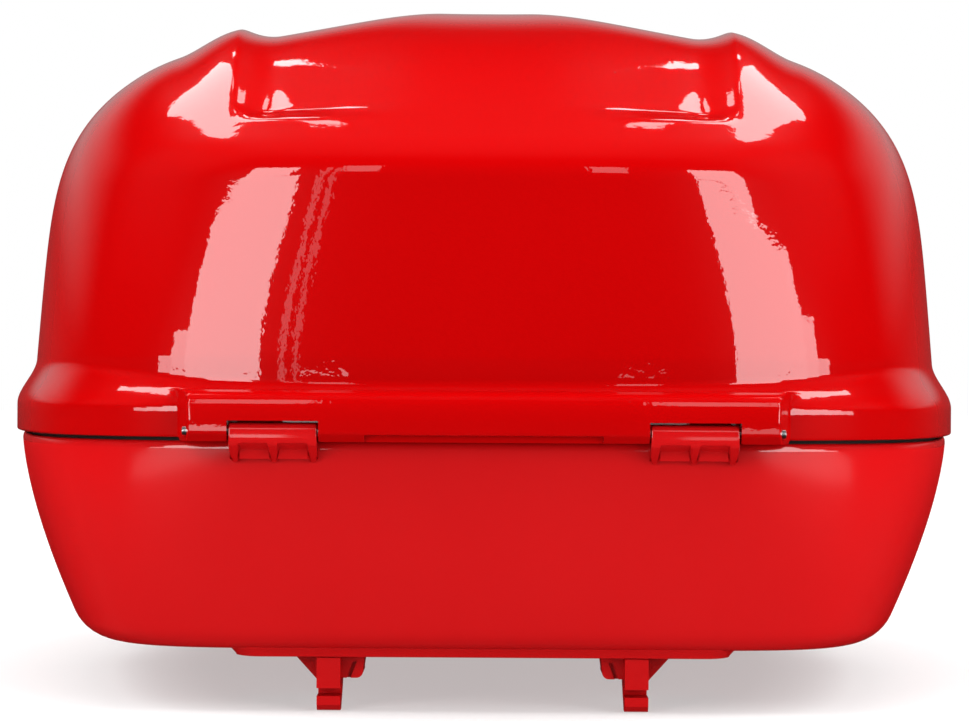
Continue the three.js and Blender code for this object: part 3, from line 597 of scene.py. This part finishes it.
def make_base():
    angle = np.linspace(0, 2 * math.pi, 440, endpoint=False)
    lip_height, lip_depth = 3 * MM, 1.1 * MM
    quarter = np.linspace(0, math.pi / 2, 9)
    centre = [base_row(angle, BASE_BOTTOM) * [s, s, 1] for s in (0.02, 0.3, 0.6, 0.85)]
    low = [base_row(angle, BASE_BOTTOM + FLOOR_ROUND * (1 - math.cos(a))) for a in quarter[:-1]]
    walls = [base_row(angle, z) for z in np.linspace(BASE_BOTTOM + FLOOR_ROUND, BASE_TOP - lip_height, 40)]
    rounding = [
        base_row(angle, BASE_TOP - lip_height * (1 - math.sin(a)), lip_depth * (1 - math.cos(a)))
        for a in np.linspace(0, math.pi / 2, 9)[1:]
    ]
    inner_low = BASE_BOTTOM + WALL
    inner_round = FLOOR_ROUND - WALL
    inner = [base_row(angle, BASE_TOP, WALL - 0.5 * MM), base_row(angle, BASE_TOP - 0.5 * MM, WALL)]
    inner += [base_row(angle, z, WALL) for z in np.linspace(BASE_TOP - 2 * MM, inner_low + inner_round, 14)]
    inner += [base_row(angle, inner_low + inner_round * (1 - math.sin(a)), WALL) for a in quarter[1:]]
    inner += [base_row(angle, inner_low, WALL) * [s, s, 1] for s in (0.85, 0.5, 0.02)]
    outer = centre + low + walls
    materials = [0] * (len(outer) - 1) + [2] * len(rounding) + [1] * len(inner)
    rows = outer + rounding + inner
    base = closed_skin("base_satin_shell", rows, [BASE_PAINT, INSIDE, TONGUE_PAINT], materials)
    cut(base, base_holes())
    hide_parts("base_shell")
    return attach(base, "base")


def rounded_rectangle(x0, x1, y0, y1, r, arc=8):
    corners = ((x1, y1, 1, 1, 0), (x0, y1, -1, 1, 1), (x0, y0, -1, -1, 2), (x1, y0, 1, -1, 3))
    points = []
    for x, y, sx, sy, turn in corners:
        for a in np.linspace(0, math.pi / 2, arc) + turn * math.pi / 2:
            points.append((x - sx * r + r * math.cos(a), y - sy * r + r * math.sin(a)))
    return np.array(points)


def make_plinth():
    half, front, rear, corner, flank = 100.5 * MM, -184 * MM, 176 * MM, 10 * MM, 2.2 * MM

    def ring(inset, z):
        flat = rounded_rectangle(-half + inset, half - inset, front + inset, rear - inset, corner)
        return np.column_stack([flat, np.full(len(flat), z)])

    edge = 0.8 * MM
    rows = [ring(flank + edge, 0.0), ring(flank + 0.25 * edge, 0.25 * edge), ring(flank, edge)]
    rows += [ring(0, BASE_BOTTOM + 0.2 * MM), ring(0, BASE_BOTTOM + 1.4 * MM)]
    plinth = closed_skin("base_plinth", rows, [BASE_PAINT])
    cut(plinth, base_holes()[1:])
    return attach(plinth, "base")


def make_gasket():
    angle = np.linspace(0, 2 * math.pi, 300, endpoint=False)
    outer, width = RIM["width"] - GASKET_HIGH.x, 4.5 * MM
    low, high = GASKET_LOW.z, GASKET_HIGH.z
    profile = [
        (outer, high),
        (outer, low + 0.8 * MM),
        (outer + 0.25 * MM, low + 0.25 * MM),
        (outer + 0.9 * MM, low),
        (outer + width - 0.9 * MM, low),
        (outer + width - 0.25 * MM, low + 0.25 * MM),
        (outer + width, low + 0.8 * MM),
        (outer + width, high),
    ]
    rows = [rim_row(angle, z, inset) for inset, z in profile]
    count = len(angle)
    faces = rows_to_faces(len(rows), count)
    last = (len(rows) - 1) * count
    faces += [[i, last + i, last + (i + 1) % count, (i + 1) % count] for i in range(count)]
    gasket = new_object("rim_seal", np.concatenate(rows), faces, [RUBBER])
    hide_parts("rim_gasket")
    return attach(gasket, "lid")


def make_mat():
    angle = np.linspace(0, 2 * math.pi, 240, endpoint=False)
    edge = base_row(angle, BASE_BOTTOM + FLOOR_ROUND, 24 * MM)
    low, high = MAT_LOW.z, MAT_HIGH.z

    def ring(share, z):
        return np.column_stack([edge[:, :2] * share, np.full(len(edge), z)])

    rows = [ring(0.02, low), ring(0.5, low), ring(0.998, low)]
    rows += [ring(1, low + 0.4 * MM), ring(1, high - 0.6 * MM)]
    rows += [ring(0.998, high - 0.1 * MM), ring(0.994, high), ring(0.5, high), ring(0.02, high)]
    mat = closed_skin("ribbed_floor_mat", rows, [MAT])
    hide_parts("floor_mat")
    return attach(mat, "base")


# ---- hinge tongues -------------------------------------------------------------------------------
def tongue_profiles():
    """The tongue's section in y and z between its ribs, and at a rib, point for point."""
    arc = [
        (PIN_Y + KNUCKLE_R * math.cos(a), PIN_Z + KNUCKLE_R * math.sin(a))
        for a in np.radians(np.linspace(-75, 180, 36))
    ]
    front = PIN_Y - KNUCKLE_R
    foot = -194 * MM
    top = (foot, BASE_TOP - 0.1 * MM)

    def lower(points):
        return [(front + dy * MM, z * MM) for dy, z in points] + [(foot, points[-1][1] * MM)]

    web = lower([(0, 87), (0, 85.6), (0.25, 85.0), (0.9, 84.7), (5.6, 83.4), (7.0, 82.2), (7.6, 78.6)])
    rib = lower([(0, 87), (0, 85.2), (0.3, 84.2), (0.8, 83.6), (5.2, 81.0), (9.5, 78.4), (10.6, 77.2)])
    return np.array([top, *arc, *web]), np.array([top, *arc, *rib])


def make_tongue(label, side):
    web, rib = tongue_profiles()
    ribs = np.array([-15.2, 0, 15.2]) * MM
    fine = np.array([0.2, 0.5, 0.8, 1.2, 1.6, 2.1, 2.6]) * MM
    edge = 0.45 * MM
    even = np.linspace(-TONGUE_HALF + edge, TONGUE_HALF - edge, 30)
    columns = unique_sorted([*steps_near(ribs, fine), *even], 0.1 * MM)
    columns = [x for x in columns if abs(x) <= TONGUE_HALF - edge + 1e-9]
    down = smooth(86 * MM, 78 * MM, web[:, 1])
    half = mix(1.9 * MM, 1.2 * MM, down)
    rows = []
    for x in columns:
        near = np.min(np.abs(x - ribs))
        share = smooth(half + 0.35 * MM, half - 0.35 * MM, near)[:, None]
        section = mix(web, rib, share)
        rows.append(np.column_stack([np.full(len(section), x), section]))
    centre = np.array([PIN_Y, PIN_Z])

    def end_row(row, x, inset):
        ring = row.copy()
        offset = ring[:, 1:] - centre
        length = np.linalg.norm(offset, axis=1, keepdims=True)
        ring[:, 1:] -= offset / length * inset
        ring[:, 0] = x
        return ring

    near_end = end_row(rows[0], -TONGUE_HALF + 0.3 * edge, 0.3 * edge)
    rows = [end_row(rows[0], -TONGUE_HALF, edge), near_end, *rows]
    rows += [end_row(rows[-1], TONGUE_HALF - 0.3 * edge, 0.3 * edge), end_row(rows[-1], TONGUE_HALF, edge)]
    rows = [row + [side * TONGUE_X, 0, 0] for row in rows]
    tongue = closed_skin(f"hinge_tongue_{label}_moulded", rows, [TONGUE_PAINT])
    bore = rod("x", 1.95 * MM, side * TONGUE_X - 30 * MM, side * TONGUE_X + 30 * MM, (PIN_Y, PIN_Z))
    cut(tongue, [bore])
    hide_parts(f"hinge_tongue_{label}")
    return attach(tongue, "base")


# ---- reflectors ----------------------------------------------------------------------------------
def make_reflector(label, side):
    """A slim lens bent to the lid's rear wall, thickest in the middle."""
    x0, x1 = REFLECTOR_LOW.x, REFLECTOR_HIGH.x
    z0, z1 = REFLECTOR_LOW.z, REFLECTOR_HIGH.z
    dense = np.linspace(0, math.pi, 4000)
    outline = rounded_rectangle(x0, x1, z0, z1, 7 * MM, 12)
    middle = outline.mean(0)

    def wall(points):
        y = []
        for x, z in points:
            row = dome_row(dense, (z - DOME_FOOT) / (DOME_TOP - DOME_FOOT))
            y.append(np.interp(-x, -row[:, 0], row[:, 1]))
        return np.array(y)

    def ring(share, stand):
        flat = middle + (outline - middle) * share
        return np.column_stack([flat[:, 0] * side, wall(flat) + stand, flat[:, 1]])

    rows = [ring(0.03, -1 * MM), ring(0.985, -1 * MM), ring(1, 0.0), ring(1, 1.9 * MM), ring(0.985, 2.5 * MM)]
    rows += [ring(0.95, 2.8 * MM)] + [ring(s, 2.9 * MM) for s in (0.8, 0.6, 0.4, 0.2, 0.03)]
    lens = closed_skin(f"rear_reflector_{label}_lens", rows, [REFLEX], sharp_degrees=50)
    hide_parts(f"rear_reflector_{label}")
    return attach(lens, "lid")


# ---- CAD nodes that stay -------------------------------------------------------------------------
KEPT = {
    "mount_hook": (BASE_PAINT, 0.45),
    "hinge_pin": (STEEL, 0.35),
    "hinge_nut": (STEEL, 0.2),
    "hook_screw": (STEEL, 0.15),
    "latch_screw": (STEEL, 0.15),
    "lock_screw": (STEEL, 0.15),
    "striker_screw": (STEEL, 0.15),
    "striker": (STEEL, 0.3),
    "lock_housing": (BLACK, 1.2),
    "lock_bezel": (CHROME, 0.4),
    "key_barrel": (CHROME, 0.25),
    "lock_cam_nut": (STEEL, 0.3),
    "lock_cam": (STEEL, 0.3),
    "rack_latch_housing": (BLACK, 1.0),
    "rack_bolt_spring": (STEEL, 0.0),
    "rack_bolt": (STEEL, 0.6),
    "rack_release_lever": (BLACK, 0.6),
    "rack_lever_pin": (STEEL, 0.3),
    "seat_pad": (RUBBER, 0.3),
}


def finish_node(node, material, edge):
    """Gives a CAD node its material, rounded edges and smooth curved faces."""
    node.data.materials.clear()
    node.data.materials.append(material)
    for polygon in node.data.polygons:
        polygon.use_smooth = True
    weld = node.modifiers.new("weld", "WELD")
    weld.merge_threshold = 0.01 * MM
    flat = node.modifiers.new("flat", "DECIMATE")
    flat.decimate_type = "DISSOLVE"
    flat.angle_limit = math.radians(1)
    if edge:
        bevel = node.modifiers.new("bevel", "BEVEL")
        bevel.width = edge * MM
        bevel.segments = 3
        bevel.limit_method = "ANGLE"
        bevel.angle_limit = math.radians(35)
        bevel.use_clamp_overlap = True
    normals = node.modifiers.new("normals", "WEIGHTED_NORMAL")
    normals.keep_sharp = False


def finish_kept_nodes():
    for name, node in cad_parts.items():
        for start in sorted(KEPT, key=len, reverse=True):
            if name.startswith(start):
                finish_node(node, *KEPT[start])
                break


# ---- studio --------------------------------------------------------------------------------------
CAMERA_AT = Vector((0, -1.25, 0.112))
LENS = 100.6
TILT_UP = math.radians(0.285)
ROLL = math.radians(0.35)
FLOOR_Z = cad_low.z


def make_camera():
    data = bpy.data.cameras.new("camera")
    data.lens = LENS
    data.sensor_width = 36
    data.clip_end = 50
    camera = bpy.data.objects.new("camera", data)
    turn = Matrix.Rotation(math.pi / 2 + TILT_UP, 4, "X") @ Matrix.Rotation(ROLL, 4, "Z")
    camera.matrix_world = Matrix.Translation(CAMERA_AT) @ turn
    bpy.context.scene.collection.objects.link(camera)
    bpy.context.scene.camera = camera


def softbox(name, at, toward, size, radiance, mirrored=True):
    data = bpy.data.lights.new(name, "AREA")
    data.shape = "RECTANGLE"
    data.size, data.size_y = size
    data.energy = radiance * math.pi * size[0] * size[1]
    light = bpy.data.objects.new(name, data)
    light.location = at
    light.rotation_euler = (Vector(toward) - Vector(at)).to_track_quat("-Z", "Y").to_euler()
    light.visible_camera = False
    light.visible_glossy = mirrored
    bpy.context.scene.collection.objects.link(light)


def panel_light(name, middle, azimuths, heights, radiance, reach=1.47):
    """An upright panel before the object, between two azimuths (degrees from -Y) and two heights."""
    azimuth = math.radians(sum(azimuths) / 2)
    half = math.radians(azimuths[1] - azimuths[0]) / 2
    level = sum(heights) / 2
    at = (middle[0] + reach * math.sin(azimuth), middle[1] - reach * math.cos(azimuth), level)
    size = (2 * reach * math.tan(half), heights[1] - heights[0])
    softbox(name, at, (*middle, level), size, radiance)


def card(name, seen_from, azimuth, elevation, size, radiance, reach=1.55):
    """A card that faces a point of the object from an azimuth and an elevation."""
    a, e = math.radians(azimuth), math.radians(elevation)
    away = Vector((math.sin(a) * math.cos(e), -math.cos(a) * math.cos(e), math.sin(e)))
    softbox(name, Vector(seen_from) + away * reach, seen_from, size, radiance)


def make_lights():
    left, right = (-0.095, -0.184), (0.1, -0.18)
    panel_light("front_left", left, (-43, -17), (0.1, 0.72), 8)
    panel_light("front_left_top", left, (-35, -20), (0.72, 1.35), 8)
    panel_light("front_left_foot", left, (-50, -43), (0.1, 0.44), 7)
    panel_light("front_left_toe", left, (-57, -50), (0.1, 0.28), 6)
    panel_light("front_left_slit_a", left, (-12.7, -11.6), (0.1, 1.3), 1.4)
    panel_light("front_left_slit_b", left, (-10.3, -9.3), (0.1, 1.3), 1.2)
    panel_light("front_right", right, (24, 55), (0.1, 0.7), 7.6)
    panel_light("front_right_top", right, (24, 43), (0.7, 1.35), 7.6)
    panel_light("front_right_foot", right, (55, 62), (0.1, 0.5), 7)
    panel_light("front_right_toe", right, (62, 69), (0.1, 0.32), 6)
    softbox("overhead", (0, 0.1, 2.2), (0, 0, 0), (2.2, 2.2), 4.2, mirrored=False)
    for label, s in SIDES:
        flank, panel, strip = (s * 0.112, -0.135, 0.233), (s * 0.085, -0.13, 0.235), (s * 0.1, -0.208, 0.1)
        card(f"flank_{label}", flank, s * 140, 58, (0.46, 0.48), 6)
        card(f"panel_{label}", panel, s * 167, 52, (0.15, 0.1), 6)
        card(f"edge_{label}", panel, s * 163, 69, (0.09, 0.1), 5)
        card(f"strip_high_{label}", strip, s * 6, 38, (0.12, 0.4), 2.2)
        card(f"strip_low_{label}", strip, s * 6, -1, (0.14, 0.06), 4 if s < 0 else 2)
        side_fill = (s * 1.5, -0.35, 1.35)
        softbox(f"side_fill_{label}", side_fill, (0, 0, 0.2), (1.3, 1.3), 10, mirrored=False)


def make_world():
    """White to the camera; otherwise darkness, with a soft band behind the object that is red below."""
    world = bpy.data.worlds.new("studio")
    world.use_nodes = True
    bpy.context.scene.world = world
    tree = world.node_tree
    tree.nodes.clear()
    link = tree.links.new
    place = tree.nodes.new("ShaderNodeTexCoord")
    parts = tree.nodes.new("ShaderNodeSeparateXYZ")
    link(place.outputs["Generated"], parts.inputs["Vector"])

    def ramp(axis, start, end, low, high):
        node = tree.nodes.new("ShaderNodeMapRange")
        node.interpolation_type = "SMOOTHSTEP"
        for name, value in (("From Min", start), ("From Max", end), ("To Min", low), ("To Max", high)):
            node.inputs[name].default_value = value
        link(parts.outputs[axis], node.inputs["Value"])
        return node.outputs["Result"]

    def product(a, b):
        node = tree.nodes.new("ShaderNodeMath")
        node.operation = "MULTIPLY"
        link(a, node.inputs[0])
        link(b, node.inputs[1])
        return node.outputs["Value"]

    behind = ramp("Y", 0.3, 0.85, 0.02, 1.0)
    band = product(ramp("Z", -0.1, 0.02, 0.2, 1.0), ramp("Z", 0.36, 0.6, 0.34, 0.01))
    seen, lit = (tree.nodes.new("ShaderNodeBackground") for _ in range(2))
    warm = tree.nodes.new("ShaderNodeMix")
    warm.data_type = "RGBA"
    warm.inputs["A"].default_value = (1, 0.09, 0.09, 1)
    warm.inputs["B"].default_value = (1, 1, 1, 1)
    link(ramp("Z", 0.08, 0.22, 0.0, 1.0), warm.inputs["Factor"])
    link(warm.outputs["Result"], lit.inputs["Color"])
    path = tree.nodes.new("ShaderNodeLightPath")
    choose = tree.nodes.new("ShaderNodeMixShader")
    out = tree.nodes.new("ShaderNodeOutputWorld")
    link(product(behind, band), lit.inputs["Strength"])
    link(path.outputs["Is Camera Ray"], choose.inputs["Fac"])
    link(lit.outputs["Background"], choose.inputs[1])
    link(seen.outputs["Background"], choose.inputs[2])
    link(choose.outputs["Shader"], out.inputs["Surface"])
    seen.inputs["Color"].default_value = (1, 1, 1, 1)
    seen.inputs["Strength"].default_value = 1.0


def make_floor():
    # The floor glows: painted light on a mid-grey floor, dimmer near the object and growing to full white
    # further out so that it fades into the white backdrop.
    n = Nodes("glowing_floor")
    n.set(Roughness=0.9, Specular_IOR_Level=0.1, Emission_Color=(1, 1, 1, 1))
    distance = n.add("ShaderNodeVectorMath", operation="LENGTH")
    n.link(n.coordinates(), distance.inputs[0])
    glow = n.add("ShaderNodeMapRange", {"From Min": 0.3, "From Max": 2.2, "To Min": 0.45, "To Max": 1.0})
    n.link(distance.outputs["Value"], glow.inputs["Value"])
    n.link(glow.outputs["Result"], n.shader.inputs["Emission Strength"])
    n.link(n.blend_colors(n.noise(3, 2), (0.3, 0.3, 0.3), (0.32, 0.32, 0.32)), n.shader.inputs["Base Color"])
    size = 8.0
    corners = [(-size, -size), (size, -size), (size, size), (-size, size)]
    points = [(x, y, FLOOR_Z - 0.3 * MM) for x, y in corners]
    floor = new_object("floor", points, [[0, 1, 2, 3]], [n.material])
    floor.visible_glossy = False


def build():
    make_camera()
    make_world()
    make_lights()
    make_floor()
    bpy.context.scene.view_settings.view_transform = "Standard"
    make_lid()
    make_base()
    make_plinth()
    make_gasket()
    make_mat()
    for label, side in SIDES:
        make_tongue(label, side)
        make_reflector(label, side)
    finish_kept_nodes()


build()
